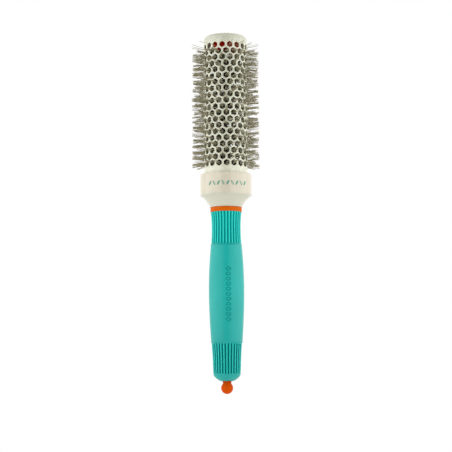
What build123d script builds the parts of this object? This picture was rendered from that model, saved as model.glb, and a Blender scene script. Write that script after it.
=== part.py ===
from build123d import *
from math import cos, radians, sin
import os

os.makedirs("parts", exist_ok=True)

# Round barrel brush. Millimetres, +Z up the brush axis, origin in the middle of the grip.
# The front of the brush is -Y.

FIT = 0.03  # radial clearance between pieces that slide together when assembled
FACE_GAP = 0.02  # gap left between end faces that meet
CUT_OVER = 1.0  # how far a cutter runs past the face it leaves

# Barrel: a perforated tube with staggered rows of hexagonal holes
BARREL_R = 17.5
BARREL_WALL = 0.9
BARREL_BORE = BARREL_R - BARREL_WALL
BARREL_Z0 = 84.1
BARREL_Z1 = 202.9
ROWS = 20
HOLES_PER_ROW = 18
HOLE_FLATS = 4.6
ROW_Z0 = 101.85
ROW_PITCH = 4.99
HOLE_STEP = 360 / HOLES_PER_ROW
HOLE_CUT_START = 0.6  # inside the bore
FRONT = -90

# Tip of the barrel
TIP_Z = 206.3
TIP_EDGE_R = 3.0
CAP_LIP = 2.0
CAP_WALL = 1.7
CAP_ROOF = 2.0
PLUG_R = 11.0
PLUG_Z0 = 194.7
PLUG_Z1 = TIP_Z - CAP_ROOF - FIT
PLUG_NOSE_R = 5.0
PLUG_SHOULDER_Z = 201.8
PLUG_CHAMFER = 0.8

# Twisted wire that carries the bristles
STRAND_R = 0.9
STRAND_GAP = 0.02
WIRE_PITCH = 12.0
WIRE_Z0 = 88.0
WIRE_Z1 = 198.0
WIRE_R = 2 * STRAND_R + STRAND_GAP / 2
WIRE_FIT_R = WIRE_R + FIT
WIRE_END_GAP = 0.5

# Bristle tufts, one through every hole
TUFT_TIP_R = 26.7
TUFT_ROOT_R = 1.9
TUFT_ROOT_HALF = 0.28
TUFT_NECK_HALF = 1.95
TUFT_TIP_HALF = 2.5
TUFT_ROUND = 1.0
TUFT_PLUG_GAP = 0.3

# Collar at the foot of the barrel, with the bell that narrows to the handle
COLLAR_R = 20.15
COLLAR_TOP = 95.6
COLLAR_SHOULDER = 1.6
BELL_TOP = 77.3
BELL_FOOT = 68.2
BELL_FOOT_R = 12.8
BELL_ARC_START = 27
SEAT_Z = 84.0
HUB_Z0 = 84.2
HUB_Z1 = 98.9
HUB_R = BARREL_BORE - FIT
HUB_WAIST_R = 13.5
HUB_WAIST_Z0 = 87.0
HUB_WAIST_Z1 = 96.0

# Handle
RING_Z0 = 64.2
RING_Z1 = 68.1
RING_R = 12.3
RING_EDGE_R = 0.4
CORE_R = 9.0
CORE_Z0 = -61.0
SPIGOT_R = 6.0
SPIGOT_Z1 = 83.9
GRIP_Z1 = RING_Z0 - FIT
GRIP_Z0 = -69.05
GRIP_FOOT_R = 4.1
SMOOTH_Z0 = -39.4
SMOOTH_Z1 = 38.7
GRIP_MID_R = 13.8
LOWER_STEP_R = 11.77
UPPER_STEP_R = 11.75
FLUTES = 30
FLUTE_W = 1.3
FLUTE_DEPTH = 0.9
FLUTE_STEP_GAP = 0.3  # from a groove to the step beside the smooth middle
FLUTE_END_GAP = 0.8  # from a groove to the far end of its zone

# Sliding sectioning tail in the end of the handle
TRAVEL = 50.0
PIN_R = 1.2
PIN_BORE = PIN_R + 0.05
PIN_Z1 = 13.5
PIN_HEAD_R = 2.2
PIN_HEAD_Z0 = 10.4
PIN_HEAD_EDGE_R = 0.8
SLIDE_BORE = 3.25
SLIDE_BORE_Z1 = 18.0
SLIDER_R = 3.2
SLIDER_Z0 = 0.0
SLIDER_Z1 = 10.0
SLIDER_BORE = PIN_R + 0.04
SLIDER_CHAMFER = 0.4
ORING_Z = 5.0
ORING_MINOR = 0.5
ORING_MAJOR = SLIDE_BORE - 0.01 - ORING_MINOR
ORING_GROOVE_DEPTH = 1.0
ORING_SIDE_GAP = 0.1
CLIP_Z1 = -0.4
CLIP_THICK = 0.8
CLIP_R = 2.6
CLIP_SLOT = 1.6
CLIP_GROOVE_DEPTH = 0.3
CLIP_SIDE_GAP = 0.01
STOP_GAP = 0.4  # left between clip and guide when the tail is fully out
GUIDE_R = 3.5
GUIDE_Z1 = SLIDER_Z0 + CLIP_Z1 - CLIP_THICK - TRAVEL - STOP_GAP
GUIDE_FLANGE_R = 4.05
GUIDE_FLANGE = 1.0
GUIDE_EDGE_R = 0.3
KNOB_R = 4.55
KNOB_Z = -74.55
KNOB_NECK_R = 3.05
KNOB_GAP = 0.35  # left between neck and flange when the tail is in
KNOB_NECK_Z1 = GRIP_Z0 - GUIDE_FLANGE - KNOB_GAP
KNOB_SOCKET_DEPTH = 1.5  # below the middle of the ball
KNOB_SOCKET_Z0 = KNOB_Z - KNOB_SOCKET_DEPTH


def front_angle(row):
    """Angle of the first hole of a row; every other row is turned by half a step."""
    return FRONT + (HOLE_STEP / 2 if row % 2 else 0)


def row_height(row):
    return ROW_Z0 + row * ROW_PITCH


def save(builder, name):
    builder.part.label = name
    export_step(builder.part, f"parts/{name}.step")


def ring(name, outer, inner, z0, z1):
    """A plain turned ring or bush."""
    with BuildPart() as body:
        with BuildSketch(Plane.XY.offset(z0)):
            Circle(outer)
            Circle(inner, mode=Mode.SUBTRACT)
        extrude(amount=z1 - z0)
    body.part.label = name
    return body


def hole_planes():
    """One plane per hole, standing just inside the tube wall and facing outward."""
    planes = []
    start = BARREL_BORE - HOLE_CUT_START
    for row in range(ROWS):
        for k in range(HOLES_PER_ROW):
            a = radians(front_angle(row) + k * HOLE_STEP)
            origin = (start * cos(a), start * sin(a), row_height(row))
            planes.append(Plane(origin, x_dir=(-sin(a), cos(a), 0), z_dir=(cos(a), sin(a), 0)))
    return planes


def make_barrel_tube():
    with BuildPart() as tube:
        with BuildSketch(Plane.XY.offset(BARREL_Z0)):
            Circle(BARREL_R)
            Circle(BARREL_BORE, mode=Mode.SUBTRACT)
        extrude(amount=BARREL_Z1 - BARREL_Z0)
        with BuildSketch(*hole_planes()):
            RegularPolygon(HOLE_FLATS / 2, side_count=6, major_radius=False, rotation=30)
        extrude(amount=HOLE_CUT_START + BARREL_WALL + CUT_OVER, mode=Mode.SUBTRACT)
    save(tube, "barrel_tube")


def make_tip_cap():
    lip_r = BARREL_BORE - FIT
    with BuildPart() as cap:
        with BuildSketch(Plane.XY.offset(BARREL_Z1)):
            Circle(BARREL_R)
        extrude(amount=TIP_Z - BARREL_Z1)
        fillet(cap.edges().sort_by(Axis.Z)[-1], TIP_EDGE_R)
        with BuildSketch(Plane.XY.offset(BARREL_Z1 - CAP_LIP)):
            Circle(lip_r)
        extrude(amount=CAP_LIP)
        with BuildSketch(Plane.XY.offset(BARREL_Z1 - CAP_LIP)):
            Circle(lip_r - CAP_WALL)
        extrude(amount=CAP_LIP + TIP_Z - BARREL_Z1 - CAP_ROOF, mode=Mode.SUBTRACT)
    save(cap, "tip_cap")


def make_tip_plug():
    with BuildPart() as plug:
        with BuildSketch(Plane.XY.offset(PLUG_Z0)):
            Circle(PLUG_R)
        extrude(amount=PLUG_SHOULDER_Z - PLUG_Z0)
        chamfer(plug.edges().sort_by(Axis.Z)[0], PLUG_CHAMFER)
        with BuildSketch(Plane.XY.offset(PLUG_SHOULDER_Z)):
            Circle(PLUG_NOSE_R)
        extrude(amount=PLUG_Z1 - PLUG_SHOULDER_Z)
        with BuildSketch(Plane.XY.offset(PLUG_Z0)):
            Circle(WIRE_FIT_R)
        extrude(amount=WIRE_Z1 + WIRE_END_GAP - PLUG_Z0, mode=Mode.SUBTRACT)
    save(plug, "tip_plug")


def make_wire_core():
    """Two round strands twisted about the brush axis."""
    coil_r = STRAND_R + STRAND_GAP / 2
    length = WIRE_Z1 - WIRE_Z0
    with BuildPart() as wire:
        with BuildLine(Plane.XY.offset(WIRE_Z0)):
            path = Helix(pitch=WIRE_PITCH, height=length, radius=coil_r)
        with BuildSketch(Plane(path @ 0, z_dir=path % 0)):
            Circle(STRAND_R)
        sweep(path=path, is_frenet=True)
        add(wire.part.rotate(Axis.Z, 180))
    save(wire, "wire_core")


def make_bristle_row(row):
    """Tufts of one row: thin at the wire, full in the hole, fanned out at the tips."""
    root_r = TUFT_ROOT_R
    root_half = TUFT_ROOT_HALF
    if row_height(row) + TUFT_NECK_HALF > PLUG_Z0:
        root_r = PLUG_R + TUFT_PLUG_GAP
        slope = (TUFT_NECK_HALF - TUFT_ROOT_HALF) / (BARREL_BORE - TUFT_ROOT_R)
        root_half = TUFT_ROOT_HALF + slope * (root_r - TUFT_ROOT_R)
    with BuildPart() as tuft:
        with BuildSketch(Plane.XZ):
            with BuildLine():
                Polyline(
                    (root_r, 0),
                    (root_r, root_half),
                    (BARREL_BORE, TUFT_NECK_HALF),
                    (BARREL_R, TUFT_NECK_HALF),
                    (TUFT_TIP_R - TUFT_ROUND, TUFT_TIP_HALF),
                    (TUFT_TIP_R, TUFT_TIP_HALF - TUFT_ROUND),
                    (TUFT_TIP_R, 0),
                    close=True,
                )
            make_face()
        revolve(axis=Axis.X)
    with BuildPart() as tufts:
        with Locations((0, 0, row_height(row))):
            with PolarLocations(0, HOLES_PER_ROW, start_angle=front_angle(row)):
                add(tuft.part)
    save(tufts, f"bristle_row_{row + 1:02d}")


def make_base_collar():
    """Collar sleeve, bell and socket for the handle, turned as one piece."""
    shoulder_z = COLLAR_TOP - COLLAR_SHOULDER
    with BuildPart() as collar:
        with BuildSketch(Plane.XZ):
            with BuildLine():
                foot = (BELL_FOOT_R, BELL_FOOT)
                rim = (COLLAR_R, BELL_TOP)
                lead = (sin(radians(BELL_ARC_START)), cos(radians(BELL_ARC_START)))
                TangentArc(foot, rim, tangent=lead)
                Line(rim, (COLLAR_R, shoulder_z))
                RadiusArc(
                    (COLLAR_R, shoulder_z),
                    (COLLAR_R - COLLAR_SHOULDER, COLLAR_TOP),
                    -COLLAR_SHOULDER,
                )
                Polyline(
                    (COLLAR_R - COLLAR_SHOULDER, COLLAR_TOP),
                    (BARREL_R + FIT, COLLAR_TOP),
                    (BARREL_R + FIT, SEAT_Z),
                    (SPIGOT_R + FIT, SEAT_Z),
                    (SPIGOT_R + FIT, BELL_FOOT),
                    foot,
                )
            make_face()
        revolve(axis=Axis.Z)
    save(collar, "base_collar")


def make_core_hub():
    """Moulded reel that plugs the foot of the barrel and holds the end of the wire."""
    with BuildPart() as hub:
        with BuildSketch(Plane.XY.offset(HUB_Z0)):
            Circle(HUB_R)
        extrude(amount=HUB_Z1 - HUB_Z0)
        with BuildSketch(Plane.XY.offset(HUB_WAIST_Z0)):
            Circle(HUB_R)
            Circle(HUB_WAIST_R, mode=Mode.SUBTRACT)
        extrude(amount=HUB_WAIST_Z1 - HUB_WAIST_Z0, mode=Mode.SUBTRACT)
        with BuildSketch(Plane.XY.offset(WIRE_Z0 - WIRE_END_GAP)):
            Circle(WIRE_FIT_R)
        extrude(amount=HUB_Z1 - WIRE_Z0 + WIRE_END_GAP, mode=Mode.SUBTRACT)
    save(hub, "core_hub")


def make_accent_ring():
    band = ring("accent_ring", RING_R, CORE_R + FIT, RING_Z0, RING_Z1)
    with BuildPart() as accent:
        add(band.part)
        outer = accent.edges().filter_by(GeomType.CIRCLE).sort_by(SortBy.RADIUS)[-2:]
        fillet(outer, RING_EDGE_R)
    save(accent, "accent_ring")


def make_handle_core():
    """Rigid core of the handle with the slide bore, and the spigot for the collar."""
    with BuildPart() as core:
        with BuildSketch(Plane.XZ):
            with BuildLine():
                Polyline(
                    (GUIDE_R + FIT, CORE_Z0),
                    (CORE_R, CORE_Z0),
                    (CORE_R, BELL_FOOT - FIT),
                    (SPIGOT_R, BELL_FOOT - FIT),
                    (SPIGOT_R, SPIGOT_Z1),
                    (0, SPIGOT_Z1),
                    (0, SLIDE_BORE_Z1),
                    (SLIDE_BORE, SLIDE_BORE_Z1),
                    (SLIDE_BORE, GUIDE_Z1),
                    (GUIDE_R + FIT, GUIDE_Z1),
                    close=True,
                )
            make_face()
        revolve(axis=Axis.Z)
    save(core, "handle_core")


def flute_cutter(points, z0, z1):
    """A slab under the given outline that cuts one groove of even depth."""
    inner = [(r - FLUTE_DEPTH, z) for r, z in points]
    outer = [(r + FLUTE_DEPTH, z) for r, z in points]
    with BuildPart() as slab:
        with BuildSketch(Plane.XZ):
            with BuildLine():
                Spline(*inner)
                Line(inner[-1], outer[-1])
                Spline(*outer)
                Line(inner[0], outer[0])
            make_face()
            with Locations((GRIP_MID_R, (z0 + z1) / 2)):
                Rectangle(GRIP_MID_R, z1 - z0, mode=Mode.INTERSECT)
        extrude(amount=FLUTE_W / 2, both=True)
    return slab.part


def make_grip_sleeve():
    """Soft grip: a barrel-shaped middle between two fluted zones, domed at the foot."""
    lower = [(10.45, -63.8), (11.12, -48.8), (LOWER_STEP_R, SMOOTH_Z0)]
    middle = [(12.16, SMOOTH_Z0), (13.37, -17.3), (GRIP_MID_R, 0.8), (13.34, 18.1), (12.06, SMOOTH_Z1)]
    upper = [(UPPER_STEP_R, SMOOTH_Z1), (11.29, 51.6), (12.1, GRIP_Z1)]
    dome = [(GRIP_FOOT_R, GRIP_Z0), (8.0, -66.7), lower[0]]
    with BuildPart() as sleeve:
        with BuildSketch(Plane.XZ):
            with BuildLine():
                Spline(*dome, tangents=[(1, 0.2), (0.05, 1)])
                Spline(*lower)
                Line(lower[-1], middle[0])
                Spline(*middle)
                Line(middle[-1], upper[0])
                Spline(*upper)
                Polyline(
                    upper[-1],
                    (CORE_R + FIT, GRIP_Z1),
                    (CORE_R + FIT, CORE_Z0 - FIT),
                    (GUIDE_R + FIT, CORE_Z0 - FIT),
                    (GUIDE_R + FIT, GRIP_Z0),
                    dome[0],
                )
            make_face()
        revolve(axis=Axis.Z)
        low = flute_cutter(lower, lower[0][1] + FLUTE_END_GAP, SMOOTH_Z0 - FLUTE_STEP_GAP)
        high = flute_cutter(upper, SMOOTH_Z1 + FLUTE_STEP_GAP, GRIP_Z1 - FLUTE_END_GAP)
        with PolarLocations(0, FLUTES, start_angle=FRONT + 180 / FLUTES):
            add(low, mode=Mode.SUBTRACT)
            add(high, mode=Mode.SUBTRACT)
    save(sleeve, "grip_sleeve")


def make_pin_guide():
    """Flanged bush in the end of the handle that the tail slides through."""
    with BuildPart() as guide:
        with BuildSketch(Plane.XY.offset(GRIP_Z0 - GUIDE_FLANGE)):
            Circle(GUIDE_FLANGE_R)
        extrude(amount=GUIDE_FLANGE - FACE_GAP)
        fillet(guide.edges(), GUIDE_EDGE_R)
        with BuildSketch(Plane.XY.offset(GRIP_Z0 - GUIDE_FLANGE / 2)):
            Circle(GUIDE_R)
        extrude(amount=GUIDE_Z1 - FACE_GAP - GRIP_Z0 + GUIDE_FLANGE / 2)
        with BuildSketch(Plane.XY.offset(GRIP_Z0 - GUIDE_FLANGE)):
            Circle(PIN_BORE)
        extrude(amount=GUIDE_Z1 - GRIP_Z0 + GUIDE_FLANGE, mode=Mode.SUBTRACT)
    save(guide, "pin_guide")


def make_pin_rod():
    """Steel rod of the tail; its head and clip hold the slider on the upper end."""
    clip_z0 = CLIP_Z1 - CLIP_THICK
    with BuildPart() as rod:
        with BuildSketch(Plane.XY.offset(KNOB_SOCKET_Z0)):
            Circle(PIN_R)
        extrude(amount=PIN_Z1 - KNOB_SOCKET_Z0)
        with BuildSketch(Plane.XY.offset(PIN_HEAD_Z0)):
            Circle(PIN_HEAD_R)
        extrude(amount=PIN_Z1 - PIN_HEAD_Z0)
        fillet(rod.edges().sort_by(Axis.Z)[-1], PIN_HEAD_EDGE_R)
        with BuildSketch(Plane.XY.offset(clip_z0 - CLIP_SIDE_GAP)):
            Circle(PIN_R + CUT_OVER)
            Circle(PIN_R - CLIP_GROOVE_DEPTH, mode=Mode.SUBTRACT)
        extrude(amount=CLIP_THICK + 2 * CLIP_SIDE_GAP, mode=Mode.SUBTRACT)
    save(rod, "pin_rod")


def make_pin_clip():
    """Open retaining clip in the groove of the rod, just under the slider."""
    with BuildPart() as clip:
        with BuildSketch(Plane.XY.offset(CLIP_Z1 - CLIP_THICK)):
            Circle(CLIP_R)
            Circle(PIN_R - CLIP_GROOVE_DEPTH + FACE_GAP, mode=Mode.SUBTRACT)
            with Locations((CLIP_R / 2, 0)):
                Rectangle(CLIP_R, CLIP_SLOT, mode=Mode.SUBTRACT)
        extrude(amount=CLIP_THICK)
    save(clip, "pin_clip")


def make_pin_slider():
    """Stop that rides in the handle bore, with a groove for the friction ring."""
    half_groove = ORING_MINOR + ORING_SIDE_GAP
    with BuildPart() as slider:
        add(ring("pin_slider", SLIDER_R, SLIDER_BORE, SLIDER_Z0, SLIDER_Z1).part)
        with BuildSketch(Plane.XY.offset(ORING_Z - half_groove)):
            Circle(SLIDER_R + CUT_OVER)
            Circle(SLIDER_R - ORING_GROOVE_DEPTH, mode=Mode.SUBTRACT)
        extrude(amount=2 * half_groove, mode=Mode.SUBTRACT)
        ends = slider.edges().filter_by(GeomType.CIRCLE).group_by(SortBy.RADIUS)[-1].sort_by(Axis.Z)
        chamfer([ends[0], ends[-1]], SLIDER_CHAMFER)
    save(slider, "pin_slider")


def make_slider_ring():
    with BuildPart() as oring:
        with BuildSketch(Plane.XZ):
            with Locations((ORING_MAJOR, ORING_Z)):
                Circle(ORING_MINOR)
        revolve(axis=Axis.Z)
    save(oring, "slider_ring")


def make_pin_knob():
    """Ball and neck on the foot of the rod."""
    bore_r = PIN_R + FACE_GAP
    neck_z0 = KNOB_Z + (KNOB_R**2 - KNOB_NECK_R**2) ** 0.5
    neck_foot = (KNOB_NECK_R, neck_z0)
    with BuildPart() as knob:
        with BuildSketch(Plane.XZ):
            with BuildLine():
                ThreePointArc((0, KNOB_Z - KNOB_R), (KNOB_R, KNOB_Z), neck_foot)
                Polyline(
                    neck_foot,
                    (KNOB_NECK_R, KNOB_NECK_Z1),
                    (bore_r, KNOB_NECK_Z1),
                    (bore_r, KNOB_SOCKET_Z0 - FACE_GAP),
                    (0, KNOB_SOCKET_Z0 - FACE_GAP),
                    (0, KNOB_Z - KNOB_R),
                )
            make_face()
        revolve(axis=Axis.Z)
    save(knob, "pin_knob")


make_barrel_tube()
make_tip_cap()
make_tip_plug()
make_wire_core()
for row in range(ROWS):
    make_bristle_row(row)
make_base_collar()
make_core_hub()
make_accent_ring()
make_handle_core()
make_grip_sleeve()
make_pin_guide()
make_pin_rod()
make_pin_clip()
make_pin_slider()
make_slider_ring()
make_pin_knob()
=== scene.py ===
import math
import random

import bmesh
import bpy
import numpy as np
from mathutils import Matrix, Vector


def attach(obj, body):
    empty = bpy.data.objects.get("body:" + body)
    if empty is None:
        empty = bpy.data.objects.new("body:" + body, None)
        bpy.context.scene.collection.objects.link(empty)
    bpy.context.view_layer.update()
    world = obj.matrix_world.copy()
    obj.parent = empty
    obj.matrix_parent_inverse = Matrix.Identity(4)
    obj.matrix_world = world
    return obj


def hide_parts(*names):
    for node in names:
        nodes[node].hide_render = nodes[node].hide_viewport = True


# Radii and heights are in millimetres and angles in radians, unless a comment says otherwise.
MM = 0.001
TWO_PI = 2 * math.pi
FRONT = -math.pi / 2  # direction of the marked side, seen from above

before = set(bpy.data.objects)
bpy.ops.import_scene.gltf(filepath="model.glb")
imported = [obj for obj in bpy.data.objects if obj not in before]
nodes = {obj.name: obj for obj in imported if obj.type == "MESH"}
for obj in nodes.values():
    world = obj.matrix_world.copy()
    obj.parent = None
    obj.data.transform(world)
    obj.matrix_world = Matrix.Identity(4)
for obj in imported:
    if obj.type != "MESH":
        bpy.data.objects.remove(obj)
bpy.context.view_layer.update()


# ---------------------------------------------------------------- materials

BUMP_HEIGHT = 0.0001  # metres
COAT_ROUGHNESS = 0.12


def srgb(r, g, b):
    """Linear colour from 0-255 sRGB numbers."""
    shares = (r / 255, g / 255, b / 255)
    return (*(v / 12.92 if v <= 0.04045 else ((v + 0.055) / 1.055) ** 2.4 for v in shares), 1)


def material(name, base, dark, roughness, mottle=60, grain=2500, bump=0.05, metallic=0.0,
             coat=0.0, rough_spread=0.08, stretch=(1, 1, 1), specular=0.5):
    """A principled surface with soft colour variation, uneven gloss and a fine bump.
    mottle and grain are noise scales per metre."""
    mat = bpy.data.materials.new(name)
    mat.use_nodes = True
    nt = mat.node_tree
    bsdf = nt.nodes["Principled BSDF"]
    coord = nt.nodes.new("ShaderNodeTexCoord")
    place = nt.nodes.new("ShaderNodeMapping")
    place.inputs["Scale"].default_value = stretch
    nt.links.new(coord.outputs["Object"], place.inputs["Vector"])

    wide = nt.nodes.new("ShaderNodeTexNoise")
    wide.inputs["Scale"].default_value = mottle
    wide.inputs["Detail"].default_value = 3
    nt.links.new(place.outputs["Vector"], wide.inputs["Vector"])
    fine = nt.nodes.new("ShaderNodeTexNoise")
    fine.inputs["Scale"].default_value = grain
    fine.inputs["Detail"].default_value = 2
    nt.links.new(place.outputs["Vector"], fine.inputs["Vector"])

    ramp = nt.nodes.new("ShaderNodeValToRGB")
    ramp.color_ramp.elements[0].position = 0.3
    ramp.color_ramp.elements[0].color = dark
    ramp.color_ramp.elements[1].position = 0.7
    ramp.color_ramp.elements[1].color = base
    nt.links.new(wide.outputs["Fac"], ramp.inputs["Fac"])
    nt.links.new(ramp.outputs["Color"], bsdf.inputs["Base Color"])

    gloss = nt.nodes.new("ShaderNodeMapRange")
    gloss.inputs["To Min"].default_value = roughness - rough_spread
    gloss.inputs["To Max"].default_value = roughness + rough_spread
    nt.links.new(fine.outputs["Fac"], gloss.inputs["Value"])
    nt.links.new(gloss.outputs["Result"], bsdf.inputs["Roughness"])

    bumps = nt.nodes.new("ShaderNodeBump")
    bumps.inputs["Strength"].default_value = bump
    bumps.inputs["Distance"].default_value = BUMP_HEIGHT
    nt.links.new(fine.outputs["Fac"], bumps.inputs["Height"])
    nt.links.new(bumps.outputs["Normal"], bsdf.inputs["Normal"])

    bsdf.inputs["Metallic"].default_value = metallic
    bsdf.inputs["Coat Weight"].default_value = coat
    bsdf.inputs["Coat Roughness"].default_value = COAT_ROUGHNESS
    bsdf.inputs["Specular IOR Level"].default_value = specular
    return mat


SMOOTH = {"bump": 0.005, "rough_spread": 0.02}
SATIN = {"grain": 2000, "bump": 0.02, "rough_spread": 0.02}

BARREL = material("barrel_coat", srgb(236, 238, 217), srgb(231, 233, 211), 0.3, coat=0.5,
                  specular=0.9, **SMOOTH)
CAP = material("cap_cream", srgb(212, 214, 193), srgb(207, 209, 188), 0.3, coat=0.5,
               specular=0.9, **SMOOTH)
COLLAR = material("collar_cream", srgb(221, 214, 193), srgb(216, 209, 187), 0.28, coat=0.3,
                  specular=0.6, **SMOOTH)
RING = material("accent_ring_orange", srgb(220, 103, 4), srgb(214, 97, 2), 0.5, specular=0.08)
# Painted shade: a darker orange for the guide, in the shade under the grip's dome.
GUIDE_SHADE = material("guide_orange_painted_shade", srgb(196, 54, 0), srgb(188, 50, 0), 0.5, specular=0.05)
PLUG = material("plug_red", srgb(212, 36, 2), srgb(176, 22, 1), 0.5, mottle=150, specular=0.08)
ORANGE = material("accent_orange", srgb(218, 82, 0), srgb(208, 75, 0), 0.5, specular=0.05)
TEAL = material("grip_teal", srgb(0, 182, 174), srgb(0, 175, 167), 0.42, grain=2000, bump=0.04,
                rough_spread=0.03, specular=0.4)
# Painted highlight and shade: the rib tops are a brighter teal for their highlights, the grooves a
# darker teal for the shade in them.
RIB_HIGHLIGHT = material("grip_rib_painted_highlight", srgb(30, 237, 226), srgb(24, 229, 218), 0.4, specular=0.4, **SATIN)
GROOVE_SHADE = material("grip_groove_painted_shade", srgb(0, 162, 155), srgb(0, 155, 148), 0.6, specular=0.05,
                  **SATIN)
# Painted shade: the pressed outlines are a darker teal for the shade in them.
EMBOSS_SHADE = material("grip_emboss_painted_shade", srgb(0, 164, 157), srgb(0, 158, 151), 0.5, grain=4000,
                  specular=0.2)
NYLON = material("inner_nylon", srgb(216, 214, 206), srgb(204, 201, 192), 0.55)
STEEL = material("wire_steel", srgb(128, 118, 98), srgb(96, 88, 72), 0.5, metallic=0.6,
                 stretch=(1, 1, 0.1))
PIN = material("pin_steel", srgb(205, 206, 208), srgb(180, 181, 184), 0.22, metallic=1.0,
               stretch=(1, 1, 0.05))
BLACK = material("black_rubber", srgb(34, 34, 35), srgb(24, 24, 25), 0.7)
BRISTLE = material("bristle", srgb(189, 183, 155), srgb(156, 150, 120), 0.45, mottle=700)
# Painted shade: a dark brown for the shade inside the barrel.
BORE_SHADE = material("barrel_bore_painted_shade", srgb(92, 82, 62), srgb(72, 62, 44), 0.6)
INK = material("collar_ink", srgb(92, 160, 138), srgb(84, 150, 130), 0.5, mottle=900)


def shade_roots(mat, inner_mm, outer_mm, keep):
    """Darkens a material towards the brush axis: painted shade where the filaments crowd into the
    barrel.
    """
    nt = mat.node_tree
    bsdf = nt.nodes["Principled BSDF"]
    paint = bsdf.inputs["Base Color"].links[0].from_socket
    coord = nt.nodes.new("ShaderNodeTexCoord")
    flat = nt.nodes.new("ShaderNodeVectorMath")
    flat.operation = "MULTIPLY"
    flat.inputs[1].default_value = (1, 1, 0)
    nt.links.new(coord.outputs["Object"], flat.inputs[0])
    far = nt.nodes.new("ShaderNodeVectorMath")
    far.operation = "LENGTH"
    nt.links.new(flat.outputs["Vector"], far.inputs[0])
    fade = nt.nodes.new("ShaderNodeMapRange")
    fade.inputs["From Min"].default_value = inner_mm * MM
    fade.inputs["From Max"].default_value = outer_mm * MM
    fade.inputs["To Min"].default_value = keep
    fade.inputs["To Max"].default_value = 1
    nt.links.new(far.outputs["Value"], fade.inputs["Value"])
    tint = nt.nodes.new("ShaderNodeVectorMath")
    tint.operation = "SCALE"
    nt.links.new(paint, tint.inputs[0])
    nt.links.new(fade.outputs["Result"], tint.inputs["Scale"])
    nt.links.new(tint.outputs["Vector"], bsdf.inputs["Base Color"])


def tint_below(mat, low_mm, high_mm, tint):
    """Multiplies a material's colour by tint below a height, fading to none above it."""
    nt = mat.node_tree
    bsdf = nt.nodes["Principled BSDF"]
    paint = bsdf.inputs["Base Color"].links[0].from_socket
    coord = nt.nodes.new("ShaderNodeTexCoord")
    split = nt.nodes.new("ShaderNodeSeparateXYZ")
    nt.links.new(coord.outputs["Object"], split.inputs["Vector"])
    fade = nt.nodes.new("ShaderNodeMapRange")
    fade.data_type = "FLOAT_VECTOR"
    ranges = {"From Min": (low_mm * MM,) * 3, "From Max": (high_mm * MM,) * 3,
              "To Min": tint, "To Max": (1, 1, 1)}
    for socket in fade.inputs:
        if socket.type == "VECTOR":
            socket.default_value = ranges.get(socket.name, (0, 0, 0))
    nt.links.new(split.outputs["Z"], fade.inputs["Vector"])
    mixed = nt.nodes.new("ShaderNodeVectorMath")
    mixed.operation = "MULTIPLY"
    nt.links.new(paint, mixed.inputs[0])
    nt.links.new(fade.outputs["Vector"], mixed.inputs[1])
    nt.links.new(mixed.outputs["Vector"], bsdf.inputs["Base Color"])


# Painted shade: the share of each grip colour kept at the grip's foot.
GRIP_PAINTED_SHADE = ((TEAL, 0.86), (RIB_HIGHLIGHT, 0.84), (GROOVE_SHADE, 0.6))

# Painted shade: the bristles darken towards the core, inside the barrel.
shade_roots(BRISTLE, inner_mm=12, outer_mm=16, keep=0.3)
# Painted shade: the collar's downward-facing bell is darker.
tint_below(COLLAR, low_mm=76.4, high_mm=79.4, tint=(0.9, 0.96, 0.99))
# Painted light: the plain band at the tube's foot, above the collar, is lighter to offset the shade
# of the tufts and collar.
tint_below(CAP, low_mm=99, high_mm=103, tint=(1.22, 1.2, 1.22))
# Painted shade: the grip's colours darken towards its foot, where less light falls.
for mat, keep in GRIP_PAINTED_SHADE:
    tint_below(mat, low_mm=-45, high_mm=0, tint=(0.94 * keep, keep, keep))

LOOKS = {
    "tip_cap": CAP, "tip_plug": PLUG, "wire_core": STEEL, "base_collar": COLLAR,
    "core_hub": NYLON, "accent_ring": RING, "handle_core": NYLON, "pin_guide": GUIDE_SHADE,
    "pin_rod": PIN, "pin_clip": PIN, "pin_slider": NYLON, "slider_ring": BLACK, "pin_knob": ORANGE,
}
for name, mat in LOOKS.items():
    nodes[name].data.materials.clear()
    nodes[name].data.materials.append(mat)


# ---------------------------------------------------------------- mesh helpers

WELD = 0.0005


def add_mesh(name, verts, faces, mat, merge=0.0):
    """A smooth-shaded mesh object; verts in millimetres."""
    mesh = bpy.data.meshes.new(name)
    mesh.from_pydata([(x * MM, y * MM, z * MM) for x, y, z in verts], [], faces)
    if merge:
        bm = bmesh.new()
        bm.from_mesh(mesh)
        bmesh.ops.remove_doubles(bm, verts=bm.verts, dist=merge * MM)
        bmesh.ops.recalc_face_normals(bm, faces=bm.faces)
        bm.to_mesh(mesh)
        bm.free()
    mesh.shade_smooth()
    mesh.materials.append(mat)
    obj = bpy.data.objects.new(name, mesh)
    bpy.context.collection.objects.link(obj)
    return obj


def stitch(faces, base, count, levels, closed=False):
    """Adds quads between rings of count points stored one after another from base."""
    for level in range(levels if closed else levels - 1):
        p, q = base + level * count, base + (level + 1) % levels * count
        for i in range(count):
            j = (i + 1) % count
            faces.append((p + i, p + j, q + j, q + i))


def lathe(name, profile, mat, replaced, body="brush", sides=160):
    """A closed (r, z) profile in millimetres turned about the brush axis."""
    verts, faces = [], []
    for r, z in profile:
        for k in range(sides):
            a = TWO_PI * k / sides
            verts.append((r * math.cos(a), r * math.sin(a), z))
    stitch(faces, 0, sides, len(profile), closed=True)
    obj = add_mesh(name, verts, faces, mat, merge=WELD)
    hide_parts(replaced)
    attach(obj, body)
    return obj


def arc(r, z, radius, start, end, steps=10):
    """Points of a circular arc between two angles in degrees."""
    points = []
    for i in range(steps + 1):
        a = math.radians(start + (end - start) * i / steps)
        points.append((r + radius * math.cos(a), z + radius * math.sin(a)))
    return points


# ---------------------------------------------------------------- barrel tube

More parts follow.
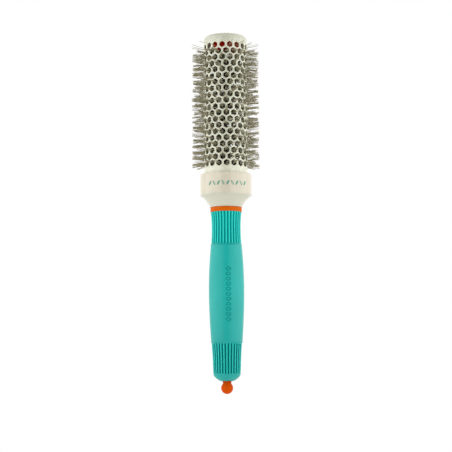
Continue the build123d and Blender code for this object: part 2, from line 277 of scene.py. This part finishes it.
BARREL_R = 17.6
WALL = 1.0
INNER_R = BARREL_R - WALL
TUBE_Z0, TUBE_Z1 = 84.1, 202.9
TUBE_WELD = 0.002
ROWS, PER_ROW = 20, 18
ROW_Z0, PITCH = 101.85, 4.99
FLATS = 4.45  # hole width across flats
CORNER_R = 0.75
RIM = 0.2  # rounding of a hole's edges
STEP = math.radians(360 / PER_ROW)
ARC = BARREL_R * STEP
TURN = math.radians(2)
SIDE_STOPS = (0, 0.12, 0.26, 0.74, 0.88)  # where a cell's side has points
BAND_START = 3.9  # from an end row's middle to the plain band's first ring
CREAM_START = 2.8  # from an end row's middle to the cream of the plain band
TOP_EDGE, FOOT_EDGE = 0.02, 0.12
EDGE_MID = 0.35  # inset of an edge's middle point, as a share of the edge


def row_z(row):
    """Height of the middle of a row of holes."""
    return ROW_Z0 + row * PITCH


def row_start(row):
    """Angle of the first hole of a row; every other row is turned half a step."""
    return TURN + FRONT + (STEP / 2 if row % 2 else 0)


def rounded_hexagon(grow):
    """Hole outline moved out by grow, five points a side, from the top corner clockwise."""
    points = []
    radius = CORNER_R + grow
    middle = (FLATS / 2 - CORNER_R) / math.cos(math.radians(30))
    for side in range(6):
        for corner, turn in ((side, 0), (side, -15), (side, -30), (side + 1, 30), (side + 1, 15)):
            a = math.radians(90 - 60 * corner)
            b = a + math.radians(turn)
            points.append((middle * math.cos(a) + radius * math.cos(b),
                           middle * math.sin(a) + radius * math.sin(b)))
    return points


def cell_outline():
    """Border of one honeycomb cell, with points that match the hole outline's."""
    peak = (ARC**2 / 4 + PITCH**2) / (2 * PITCH)
    shoulder = PITCH - peak
    corners = [(0, peak), (ARC / 2, shoulder), (ARC / 2, -shoulder),
               (0, -peak), (-ARC / 2, -shoulder), (-ARC / 2, shoulder)]
    points = []
    for side in range(6):
        (x0, y0), (x1, y1) = corners[side], corners[(side + 1) % 6]
        for t in SIDE_STOPS:
            points.append((x0 + t * (x1 - x0), y0 + t * (y1 - y0)))
    return points


def add_cell(verts, faces, row, k, levels):
    """One honeycomb cell of the wall, from its outer border in through its hole."""
    base = len(verts)
    turn = row_start(row) + k * STEP
    for outline, r in levels:
        for x, y in outline:
            a = turn + x / BARREL_R
            verts.append((r * math.cos(a), r * math.sin(a), row_z(row) + y))
    stitch(faces, base, len(levels[0][0]), len(levels))


def add_end_band(verts, faces, row, sign, end, edge):
    """The plain band between an end row's zigzag border and the end of the tube."""
    upper = sorted((x, y) for x, y in cell_outline() if y > 0)
    zigzag = []
    for k in range(PER_ROW):
        turn = row_start(row) + k * STEP
        zigzag += [(turn + x / BARREL_R, row_z(row) + sign * y) for x, y in upper[:-1]]
    near = row_z(row) + sign * BAND_START
    path = [(BARREL_R, None), (BARREL_R, near), (BARREL_R, (near + end) / 2),
            (BARREL_R, end - sign * edge),
            (BARREL_R - EDGE_MID * edge, end - sign * EDGE_MID * edge),
            (BARREL_R - edge, end), (INNER_R, end), (INNER_R, near), (INNER_R, None)]
    base = len(verts)
    for r, level_z in path:
        for a, border_z in zigzag:
            z = border_z if level_z is None else level_z
            verts.append((r * math.cos(a), r * math.sin(a), z))
    stitch(faces, base, len(zigzag), len(path))


def paint_barrel(tube):
    """Dark brown painted shade inside, cream on the plain end bands, the barrel's coat on the rest.
    """
    tube.data.materials.append(BORE_SHADE)
    tube.data.materials.append(CAP)
    limit = (INNER_R + RIM / 3) * MM
    coat_z0, coat_z1 = (row_z(0) - CREAM_START) * MM, (row_z(ROWS - 1) + CREAM_START) * MM
    for face in tube.data.polygons:
        c = face.center
        if math.hypot(c.x, c.y) < limit:
            face.material_index = 1
        elif not coat_z0 < c.z < coat_z1:
            face.material_index = 2


def make_barrel():
    """The perforated tube, cell by cell, with its two plain end bands."""
    border = cell_outline()
    steps = ((RIM, BARREL_R), (0.3 * RIM, BARREL_R - 0.3 * RIM), (0, BARREL_R - RIM),
             (0, INNER_R + RIM / 2), (RIM / 2, INNER_R))
    levels = [(border, BARREL_R), *((rounded_hexagon(grow), r) for grow, r in steps),
              (border, INNER_R)]
    verts, faces = [], []
    for row in range(ROWS):
        for k in range(PER_ROW):
            add_cell(verts, faces, row, k, levels)
    add_end_band(verts, faces, ROWS - 1, 1, TUBE_Z1, TOP_EDGE)
    add_end_band(verts, faces, 0, -1, TUBE_Z0, FOOT_EDGE)
    tube = add_mesh("barrel_shell", verts, faces, BARREL, merge=TUBE_WELD)
    paint_barrel(tube)
    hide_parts("barrel_tube")
    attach(tube, "brush")


make_barrel()


# ---------------------------------------------------------------- cap

TIP_Z = 206.3
TIP_EDGE = 3.0
SPIGOT_R, SPIGOT_BORE, SPIGOT_DEEP = 16.55, 14.9, 2.0
CAP_JOIN = 0.02  # fine chamfer where the cap meets the tube
CAP_ROOF = 1.9
CAP_MID_R = 9.0

lathe("cap_shell", [
    (SPIGOT_BORE, TUBE_Z1 - SPIGOT_DEEP), (SPIGOT_R, TUBE_Z1 - SPIGOT_DEEP), (SPIGOT_R, TUBE_Z1),
    (BARREL_R - CAP_JOIN, TUBE_Z1), (BARREL_R, TUBE_Z1 + CAP_JOIN),
    *arc(BARREL_R - TIP_EDGE, TIP_Z - TIP_EDGE, TIP_EDGE, 0, 90, 16),
    (CAP_MID_R, TIP_Z), (0, TIP_Z), (0, TIP_Z - CAP_ROOF), (SPIGOT_BORE, TIP_Z - CAP_ROOF),
], CAP, "tip_cap")


# ---------------------------------------------------------------- grip

def through(points, z):
    """Radius at height z of the smooth curve through (z, r) points, by Hermite spans."""
    zs = [p[0] for p in points]
    rs = [p[1] for p in points]
    slopes = []
    for i in range(len(points)):
        lo, hi = max(i - 1, 0), min(i + 1, len(points) - 1)
        slopes.append((rs[hi] - rs[lo]) / (zs[hi] - zs[lo]))
    i = 0
    while i < len(points) - 2 and z > zs[i + 1]:
        i += 1
    h = zs[i + 1] - zs[i]
    t = min(max((z - zs[i]) / h, 0), 1)
    a = (2 * t**3 - 3 * t**2 + 1) * rs[i] + (t**3 - 2 * t**2 + t) * h * slopes[i]
    return a + (-2 * t**3 + 3 * t**2) * rs[i + 1] + (t**3 - t**2) * h * slopes[i + 1]


# Outlines as (z, r) points, from the foot up.
DOME = [(-69.05, 4.1), (-68.98, 5.2), (-68.5, 6.4), (-67.1, 8.4), (-65.5, 9.9), (-64.6, 10.4),
        (-63.9, 10.7)]
LOWER = [(-63.9, 10.7), (-60.4, 10.9), (-48.8, 11.36), (-39.4, 11.98)]
MIDDLE = [(-39.4, 12.33), (-20, 13.45), (0, 14.0), (20, 13.55), (38.7, 12.26)]
UPPER = [(38.7, 11.92), (45.3, 11.6), (51.65, 11.5), (58.2, 11.7), (64.16, 12.25)]
MIDDLE_Z0, MIDDLE_Z1 = MIDDLE[0][0], MIDDLE[-1][0]
MIDDLE_MIN_R = 12.4  # only the smooth middle of the grip is wider than this
GRIP_TOP = 64.16
GRIP_TOP_EDGE = ((12.2, 64.1), (12.05, GRIP_TOP))

# The grip's bore, as (r, z) points from the top down.
GRIP_BORE = 9.05
FOOT_BORE = 3.6
BORE_Z0 = -60.97
GRIP_INSIDE = ((GRIP_BORE, GRIP_TOP), (GRIP_BORE, BORE_Z0), (FOOT_BORE, BORE_Z0),
               (FOOT_BORE, -68.75), (FOOT_BORE + 0.15, -69.0))

FLUTES = 30
FLUTE_DEEP = 0.8
LOWER_FLUTES, LOWER_ZONE = (-62.85, -39.6), (-63.6, -39.45)
UPPER_FLUTES, UPPER_ZONE = (38.95, 63.98), (38.75, 64.09)
FLUTE_RINGS = 14
FLUTE_RAMP = ((-0.08, 0), (0, 0.12), (0.12, 0.85), (0.3, 1))  # share of the depth at an end
RIB_TOP = 0.45  # share of the flute's depth, from the top, that has the rib's painted highlight colour

# Height of the rib at a share of the flute's pitch from its middle.
RIB_HALF = ((0, 1), (0.06, 1), (0.12, 0.93), (0.17, 0.72), (0.22, 0.35), (0.3, 0.06),
            (0.4, 0.01), (0.5, 0))
RIB_SHAPE = [(-x, rise) for x, rise in reversed(RIB_HALF)] + list(RIB_HALF[1:-1])

DIMPLES = 11
DIMPLE_PITCH = 3.95
DIMPLE_TURN = math.radians(6)
DIMPLE_DEEP = 0.5
DIMPLE_MID = -1.0
DIMPLE_WIDE, DIMPLE_LONG = 2.0, 1.45  # half axes of an oval
DIMPLE_REACH = 3
DIMPLE_RIM = 0.8  # middle of the pressed outline, as a share of the half axes
DIMPLE_LINE, DIMPLE_SOFT = 0.32, 0.16  # half width of the outline and its soft edge
EMBOSS_FROM = 0.6  # share of the depth from which the outline has the painted shade colour
DIMPLE_Z0, DIMPLE_Z1 = -27, 24  # where the grip's rings are close together
DIMPLE_RINGS = 190
PLAIN_LOW, PLAIN_HIGH = (MIDDLE_Z0, -28, 6), (26, MIDDLE_Z1, 7)  # from, to, rings


def dimple(a, z, r):
    """Depth of the row of small pressed oval outlines on the front of the grip."""
    last = DIMPLES - 1
    across = (a - FRONT - DIMPLE_TURN) * r
    along = (z - DIMPLE_MID) / DIMPLE_PITCH + last / 2
    if abs(across) > DIMPLE_REACH or not -0.5 <= along <= last + 0.5:
        return 0
    near = min(max(round(along), 0), last)
    d = math.hypot(across / DIMPLE_WIDE, (along - near) * DIMPLE_PITCH / DIMPLE_LONG)
    return DIMPLE_DEEP * min(max((DIMPLE_LINE - abs(d - DIMPLE_RIM)) / DIMPLE_SOFT, 0), 1)


def fluted(points, flutes, zone):
    """Rings (r, z, depth) of a fluted zone, with a short ramp at both ends of its flutes."""
    (z0, z1), (zone_z0, zone_z1) = flutes, zone
    ramp = FLUTE_RAMP[-1][0]
    marks = [(zone_z0, 0), *((z0 + rise, depth) for rise, depth in FLUTE_RAMP)]
    for i in range(1, FLUTE_RINGS):
        marks.append((z0 + ramp + (z1 - z0 - 2 * ramp) * i / FLUTE_RINGS, 1))
    marks += [(z1 - rise, depth) for rise, depth in reversed(FLUTE_RAMP)]
    marks.append((zone_z1, 0))
    return [(through(points, z), z, depth) for z, depth in marks]


def grip_rings():
    """Rings (r, z, flute depth) of the grip, up its outside and down its bore."""
    rings = [(r, z, 0) for z, r in DOME]
    rings += fluted(LOWER, LOWER_FLUTES, LOWER_ZONE)
    for z in (*np.linspace(*PLAIN_LOW), *np.linspace(DIMPLE_Z0, DIMPLE_Z1, DIMPLE_RINGS),
              *np.linspace(*PLAIN_HIGH)):
        rings.append((through(MIDDLE, float(z)), float(z), 0))
    rings += fluted(UPPER, UPPER_FLUTES, UPPER_ZONE)
    rings += [(r, z, 0) for r, z in (*GRIP_TOP_EDGE, *GRIP_INSIDE)]
    return rings


def paint_grip(grip):
    """Colours the rib tops with a painted highlight, and the grooves between them and the pressed
    outlines with painted shade.
    """
    for mat in (RIB_HIGHLIGHT, GROOVE_SHADE, EMBOSS_SHADE):
        grip.data.materials.append(mat)
    for face in grip.data.polygons:
        c = face.center / MM
        r = math.hypot(c.x, c.y)
        zone = None
        if LOWER_FLUTES[0] < c.z < LOWER_FLUTES[1]:
            zone = LOWER
        elif UPPER_FLUTES[0] < c.z < UPPER_FLUTES[1]:
            zone = UPPER
        if zone and r > GRIP_BORE + 0.01:
            face.material_index = 1 if r > through(zone, c.z) - RIB_TOP * FLUTE_DEEP else 2
        elif r > MIDDLE_MIN_R:
            pressed = dimple(math.atan2(c.y, c.x), c.z, r)
            if pressed > EMBOSS_FROM * DIMPLE_DEEP:
                face.material_index = 3


def make_grip():
    """The rubber sleeve: domed foot, two fluted zones and the smooth middle."""
    columns = []
    for k in range(FLUTES):
        for x, rise in RIB_SHAPE:
            columns.append((FRONT + (k + x) * TWO_PI / FLUTES, 1 - rise))
    rings = grip_rings()
    verts, faces = [], []
    for ring_r, z, depth in rings:
        for a, cut in columns:
            r = ring_r - depth * cut * FLUTE_DEEP
            if ring_r > MIDDLE_MIN_R:
                r -= dimple(a, z, ring_r)
            verts.append((r * math.cos(a), r * math.sin(a), z))
    stitch(faces, 0, len(columns), len(rings), closed=True)
    grip = add_mesh("grip_skin", verts, faces, TEAL, merge=WELD)
    paint_grip(grip)
    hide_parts("grip_sleeve")
    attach(grip, "brush")


make_grip()


# ---------------------------------------------------------------- collar and ring

COLLAR_R = 20.5
COLLAR_TOP = 94.2
COLLAR_EDGE = 0.3
COLLAR_BORE = 6.03
SOCKET_Z = 84.0  # floor of the socket that holds the tube
SOCKET_R = BARREL_R + 0.03
BELL_TOP = 77.3
BELL_FOOT = Vector((12.75, 68.0))
BELL_START = math.radians(22)
BELL_STEPS = 32
BAND_RINGS = (0.12, 6, 12)  # heights above the bell of the collar's extra rings
COLLAR_MID_R = 18.5
RING_R, RING_BORE = 12.5, 9.03
RING_Z0, RING_Z1 = 64.2, 67.9
RING_EDGE = 0.25


def bell():
    """Arc that flares from the ring to the lower rim of the collar."""
    rim = Vector((COLLAR_R, BELL_TOP))
    normal = Vector((math.cos(BELL_START), -math.sin(BELL_START)))
    chord = rim - BELL_FOOT
    radius = chord.length_squared / (2 * normal.dot(chord))
    centre = BELL_FOOT + radius * normal
    start, end = BELL_FOOT - centre, rim - centre
    points = []
    for i in range(BELL_STEPS + 1):
        p = centre + start.lerp(end, i / BELL_STEPS).normalized() * radius
        points.append((p.x, p.y))
    return points


lathe("collar_shell", [
    (COLLAR_BORE, BELL_FOOT.y), (BELL_FOOT.x - 0.2, BELL_FOOT.y), *bell(),
    *((COLLAR_R, BELL_TOP + rise) for rise in BAND_RINGS),
    *arc(COLLAR_R - COLLAR_EDGE, COLLAR_TOP - COLLAR_EDGE, COLLAR_EDGE, 0, 90, 6),
    (COLLAR_MID_R, COLLAR_TOP), (BARREL_R + 0.1, COLLAR_TOP), (SOCKET_R, COLLAR_TOP - 0.1),
    (SOCKET_R, SOCKET_Z), (COLLAR_BORE, SOCKET_Z),
], COLLAR, "base_collar")

lathe("ring_shell", [
    (RING_BORE, RING_Z0), *arc(RING_R - RING_EDGE, RING_Z0 + RING_EDGE, RING_EDGE, -90, 0, 5),
    *arc(RING_R - RING_EDGE, RING_Z1 - RING_EDGE, RING_EDGE, 0, 90, 5), (RING_BORE, RING_Z1),
], RING, "accent_ring")


# ---------------------------------------------------------------- tail guide and knob

GUIDE_R, GUIDE_BORE = 3.5, 1.28
GUIDE_Z0, GUIDE_Z1 = -69.68, -51.62
FLANGE = [(3.45, GUIDE_Z0), (3.7, -69.4), (4.0, -69.1), (3.9, -69.07), (GUIDE_R, -69.06)]

lathe("guide_shell", [
    (GUIDE_BORE, GUIDE_Z0), *FLANGE, (GUIDE_R, GUIDE_Z1), (GUIDE_BORE, GUIDE_Z1),
], GUIDE_SHADE, "pin_guide", sides=96)

KNOB_R = 4.72
KNOB_Z = -74.45
NECK_R = 3.3
NECK_TOP = -69.75
ROD_SOCKET_R = 1.22
ROD_SOCKET_Z = KNOB_Z - 1.5
KNOB_TURN = math.degrees(math.acos(NECK_R / KNOB_R))  # degrees, where ball and neck meet

lathe("knob_shell", [
    *arc(0, KNOB_Z, KNOB_R, -90, KNOB_TURN, 40), (NECK_R, NECK_TOP), (ROD_SOCKET_R, NECK_TOP),
    (ROD_SOCKET_R, ROD_SOCKET_Z), (0, ROD_SOCKET_Z),
], ORANGE, "pin_knob", body="section_pin", sides=96)


# ---------------------------------------------------------------- print on the collar

LEAVES = 9
LEAF_PITCH = 3.7
LEAF_Z = 85.5
LEAF_TURN = math.radians(4)
LEAF_TILT = math.radians(28)
LEAF_WIDE, LEAF_LONG = 0.8, 2.1  # half sizes
LEAF_SHARP = 0.4
LEAF_POINTS = 16
INK_RISE = 0.015


def make_print():
    """A row of small plain leaves, alternately tilted, printed on the collar's front."""
    verts, faces = [], []
    r = COLLAR_R + INK_RISE
    for k in range(LEAVES):
        offset = (k - (LEAVES - 1) / 2) * LEAF_PITCH
        tilt = LEAF_TILT if k % 2 else -LEAF_TILT
        base = len(verts)
        for i in range(LEAF_POINTS):
            t = TWO_PI * i / LEAF_POINTS
            x = LEAF_WIDE * math.sin(t) * abs(math.sin(t)) ** LEAF_SHARP
            y = LEAF_LONG * math.cos(t)
            u = x * math.cos(tilt) - y * math.sin(tilt) + offset
            v = x * math.sin(tilt) + y * math.cos(tilt)
            a = FRONT + LEAF_TURN + u / COLLAR_R
            verts.append((r * math.cos(a), r * math.sin(a), LEAF_Z + v))
        faces.append(tuple(range(base, base + LEAF_POINTS)))
    marks = add_mesh("collar_print", verts, faces, INK)
    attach(marks, "brush")


make_print()


# ---------------------------------------------------------------- bristles

FILAMENTS = 8
FEWER, MORE = 4, 3  # how far a tuft's count may be under or over that
TOP_ROW_COUNTS = (0, 0, 1, 3)
TOP_ROW_LEAN = 0.12
FILAMENT_R = 0.19
CORE_R = 2.0  # where filaments leave the wire
HOLE_R = 17.0  # where they pass their hole
TIP_R = 27.3
PLUG_R, PLUG_Z0 = 11.0, 194.7
PLUG_GAP = 0.3
PLUG_NEAR = 2  # rows up to this far below the plug start on it too
TUFT_WIDE, TUFT_HIGH = 1.35, 1.45  # half sizes of a tuft in its hole
ROOT_WIDE, ROOT_HIGH, ROOT_SWING = 0.3, 1.5, 6.0  # how tufts spread along the wire
CRIMP = (0.1, 0.2)
CRIMP_PITCH = 3.1
LONG_POINTS, SHORT_POINTS = 19, 14

# Spreads of the random draws, across and up where there are two.
LEAN = (0.07, 0.11)
STRAY = (0.04, 0.045)
BUNCH = (0.4, 0.45)
REACH_SPREAD, END_SPREAD = 0.35, 0.5
FAN = (-0.7, 0.35)


def tube_along(path, radius, verts, faces, sides=3):
    """Adds a thin closed tube along a list of points."""
    base = len(verts)
    count = len(path)
    for i, p in enumerate(path):
        ahead = path[min(i + 1, count - 1)] - path[max(i - 1, 0)]
        ahead.normalize()
        side = ahead.cross(Vector((0, 0, 1)))
        if side.length < 0.1:
            side = ahead.cross(Vector((1, 0, 0)))
        side.normalize()
        other = ahead.cross(side)
        for s in range(sides):
            a = TWO_PI * s / sides
            q = p + radius * (math.cos(a) * side + math.sin(a) * other)
            verts.append((q.x, q.y, q.z))
    for i in range(count - 1):
        for s in range(sides):
            t = (s + 1) % sides
            p, q = base + i * sides, base + (i + 1) * sides
            faces.append((p + s, p + t, q + t, q + s))
    faces.append(tuple(base + s for s in reversed(range(sides))))
    faces.append(tuple(base + (count - 1) * sides + s for s in range(sides)))


def draw_tuft(rng, top_row):
    """Draws one tuft's lean, place in its hole, reach, swing at the core, fan and count."""
    lean = [rng.gauss(0, LEAN[0]), rng.gauss(0, LEAN[1])]
    bunch = (rng.gauss(0, BUNCH[0]), rng.gauss(0, BUNCH[1]))
    reach = TIP_R - abs(rng.gauss(0, REACH_SPREAD))
    swing = rng.uniform(-1, 1)
    fan = rng.uniform(*FAN)
    count = FILAMENTS + rng.randint(-FEWER, MORE)
    if top_row:
        count = rng.choice(TOP_ROW_COUNTS)
        lean[1] += TOP_ROW_LEAN
    return lean, bunch, reach, swing, fan, count


def filament(rng, tuft, z):
    """Points (r, across, up) of one crimped filament, from the core or plug to its tip."""
    lean, bunch, reach, swing, fan, _ = tuft
    angle = rng.uniform(0, TWO_PI)
    spread = math.sqrt(rng.uniform(0, 1))
    hole = (bunch[0] + TUFT_WIDE * spread * math.cos(angle),
            bunch[1] + TUFT_HIGH * spread * math.sin(angle))
    slope = (lean[0] + rng.gauss(0, STRAY[0]), lean[1] + rng.gauss(0, STRAY[1]))
    over_plug = z + PLUG_NEAR > PLUG_Z0
    start_r = PLUG_R + PLUG_GAP if over_plug else CORE_R
    end_r = reach - abs(rng.gauss(0, END_SPREAD))
    root = (ROOT_WIDE * math.sin(angle), ROOT_SWING * swing + ROOT_HIGH * math.cos(angle))
    phase, tilt = rng.uniform(0, TWO_PI), rng.uniform(0, math.pi)
    wave = rng.uniform(*CRIMP)
    count = SHORT_POINTS if over_plug else LONG_POINTS
    points = []
    for i in range(count):
        r = start_r + (end_r - start_r) * i / (count - 1)
        crimp = wave * math.sin(phase + TWO_PI * r / CRIMP_PITCH)
        place = []
        for axis, turned in ((0, math.cos(tilt)), (1, math.sin(tilt))):
            if r < HOLE_R:
                t = (r - CORE_R) / (HOLE_R - CORE_R)
                offset = root[axis] + (hole[axis] - root[axis]) * t * (0.5 + 0.5 * t)
            else:
                past = r - HOLE_R
                wide = 1 + fan * past / (TIP_R - HOLE_R)
                offset = bunch[axis] + (hole[axis] - bunch[axis]) * wide + slope[axis] * past
            place.append(offset + crimp * turned)
        points.append((r, *place))
    return points


def make_bristles(row, rng):
    """One row of tufts, a tuft of crimped filaments through each hole."""
    verts, faces = [], []
    z = row_z(row)
    up = Vector((0, 0, 1))
    for k in range(PER_ROW):
        turn = row_start(row) + k * STEP
        out = Vector((math.cos(turn), math.sin(turn), 0))
        across = Vector((-math.sin(turn), math.cos(turn), 0))
        tuft = draw_tuft(rng, row == ROWS - 1)
        count = tuft[-1]
        for _ in range(count):
            path = [out * r + across * a + up * (z + u) for r, a, u in filament(rng, tuft, z)]
            tube_along(path, FILAMENT_R, verts, faces)
    name = f"bristle_row_{row + 1:02d}"
    tufts = add_mesh(f"tufts_{row + 1:02d}", verts, faces, BRISTLE)
    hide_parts(name)
    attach(tufts, "brush")


rng = random.Random(20)
for row in range(ROWS):
    make_bristles(row, rng)


# ---------------------------------------------------------------- stage, light, camera

# Lengths are in metres from here on.
FLOOR_SIZE = (2.4, 1.9)
FLOOR_AT = (0, 0.25, -0.28)
ROOM = 0.28  # strength of the light from the camera's side
BACKDROP = 1.15  # strength of the light from behind the brush
BLEND = 0.35
ROOM_COLOUR = (1, 0.99, 0.97, 1)
WHITE = (1, 1, 1, 1)
SOFTBOX_TURN = math.radians(62)
SOFTBOX_FAR = 1.4
SOFTBOX_HEIGHT = 0.1
SOFTBOX_AIM = Vector((0, 0, 0.07))
SOFTBOX_SIZE = (2.35, 1.8)
SOFTBOX_POWER = 18  # watts
ELEVATION = math.radians(-5.6)
DISTANCE = 0.904
AIM = Vector((-0.00015, 0, 0.05324))
ROLL = math.radians(-0.33)
LENS = 90.5  # millimetres, on a sensor 36 wide
SENSOR = 36

PAPER = material("studio_white", srgb(250, 250, 250), srgb(247, 247, 247), 0.9, mottle=2, grain=300,
                 bump=0.02)


def make_floor():
    """A plain white sheet under the brush."""
    mesh = bpy.data.meshes.new("floor")
    w, h = FLOOR_SIZE[0] / 2, FLOOR_SIZE[1] / 2
    mesh.from_pydata([(-w, -h, 0), (w, -h, 0), (w, h, 0), (-w, h, 0)], [], [(0, 1, 2, 3)])
    mesh.materials.append(PAPER)
    floor = bpy.data.objects.new("floor", mesh)
    floor.location = FLOOR_AT
    bpy.context.collection.objects.link(floor)


def make_world(scene):
    """A white backdrop, and light on the object that grows towards its back."""
    world = bpy.data.worlds.new("studio")
    world.use_nodes = True
    sky = world.node_tree
    paper = sky.nodes["Background"]
    paper.inputs["Color"].default_value = WHITE
    paper.inputs["Strength"].default_value = 1.0
    room = sky.nodes.new("ShaderNodeBackground")
    room.inputs["Color"].default_value = ROOM_COLOUR
    way = sky.nodes.new("ShaderNodeTexCoord")
    parts = sky.nodes.new("ShaderNodeSeparateXYZ")
    depth = sky.nodes.new("ShaderNodeMapRange")
    depth.inputs["From Min"].default_value = -BLEND
    depth.inputs["From Max"].default_value = BLEND
    depth.inputs["To Min"].default_value = ROOM
    depth.inputs["To Max"].default_value = BACKDROP
    sky.links.new(way.outputs["Generated"], parts.inputs["Vector"])
    sky.links.new(parts.outputs["Y"], depth.inputs["Value"])
    sky.links.new(depth.outputs["Result"], room.inputs["Strength"])
    seen = sky.nodes.new("ShaderNodeLightPath")
    both = sky.nodes.new("ShaderNodeMixShader")
    sky.links.new(seen.outputs["Is Camera Ray"], both.inputs["Fac"])
    sky.links.new(room.outputs["Background"], both.inputs[1])
    sky.links.new(paper.outputs["Background"], both.inputs[2])
    sky.links.new(both.outputs["Shader"], sky.nodes["World Output"].inputs["Surface"])
    scene.world = world


def make_softbox(name, side):
    """A large soft light at the front, to the left (-1) or right (1) of the camera."""
    light = bpy.data.lights.new(name, "AREA")
    light.shape = "RECTANGLE"
    light.size, light.size_y = SOFTBOX_SIZE
    light.energy = SOFTBOX_POWER
    box = bpy.data.objects.new(name, light)
    spot = Vector((side * SOFTBOX_FAR * math.sin(SOFTBOX_TURN),
                   -SOFTBOX_FAR * math.cos(SOFTBOX_TURN), SOFTBOX_HEIGHT))
    box.location = spot
    box.rotation_euler = (SOFTBOX_AIM - spot).to_track_quat("-Z", "Y").to_euler()
    bpy.context.collection.objects.link(box)


def make_camera(scene):
    """The camera in front of the brush and below its middle, looking slightly up."""
    cam_data = bpy.data.cameras.new("camera")
    cam_data.lens = LENS
    cam_data.sensor_width = SENSOR
    camera = bpy.data.objects.new("camera", cam_data)
    offset = Vector((0, -math.cos(ELEVATION), math.sin(ELEVATION))) * DISTANCE
    look = (-offset).to_track_quat("-Z", "Y").to_matrix() @ Matrix.Rotation(ROLL, 3, "Z")
    camera.matrix_world = Matrix.Translation(AIM + offset) @ look.to_4x4()
    bpy.context.collection.objects.link(camera)
    scene.camera = camera


scene = bpy.context.scene
make_floor()
make_world(scene)
scene.view_settings.view_transform = "Standard"
scene.view_settings.look = "None"
make_softbox("left_box", -1)
make_softbox("right_box", 1)
make_camera(scene)

bpy.context.view_layer.update()
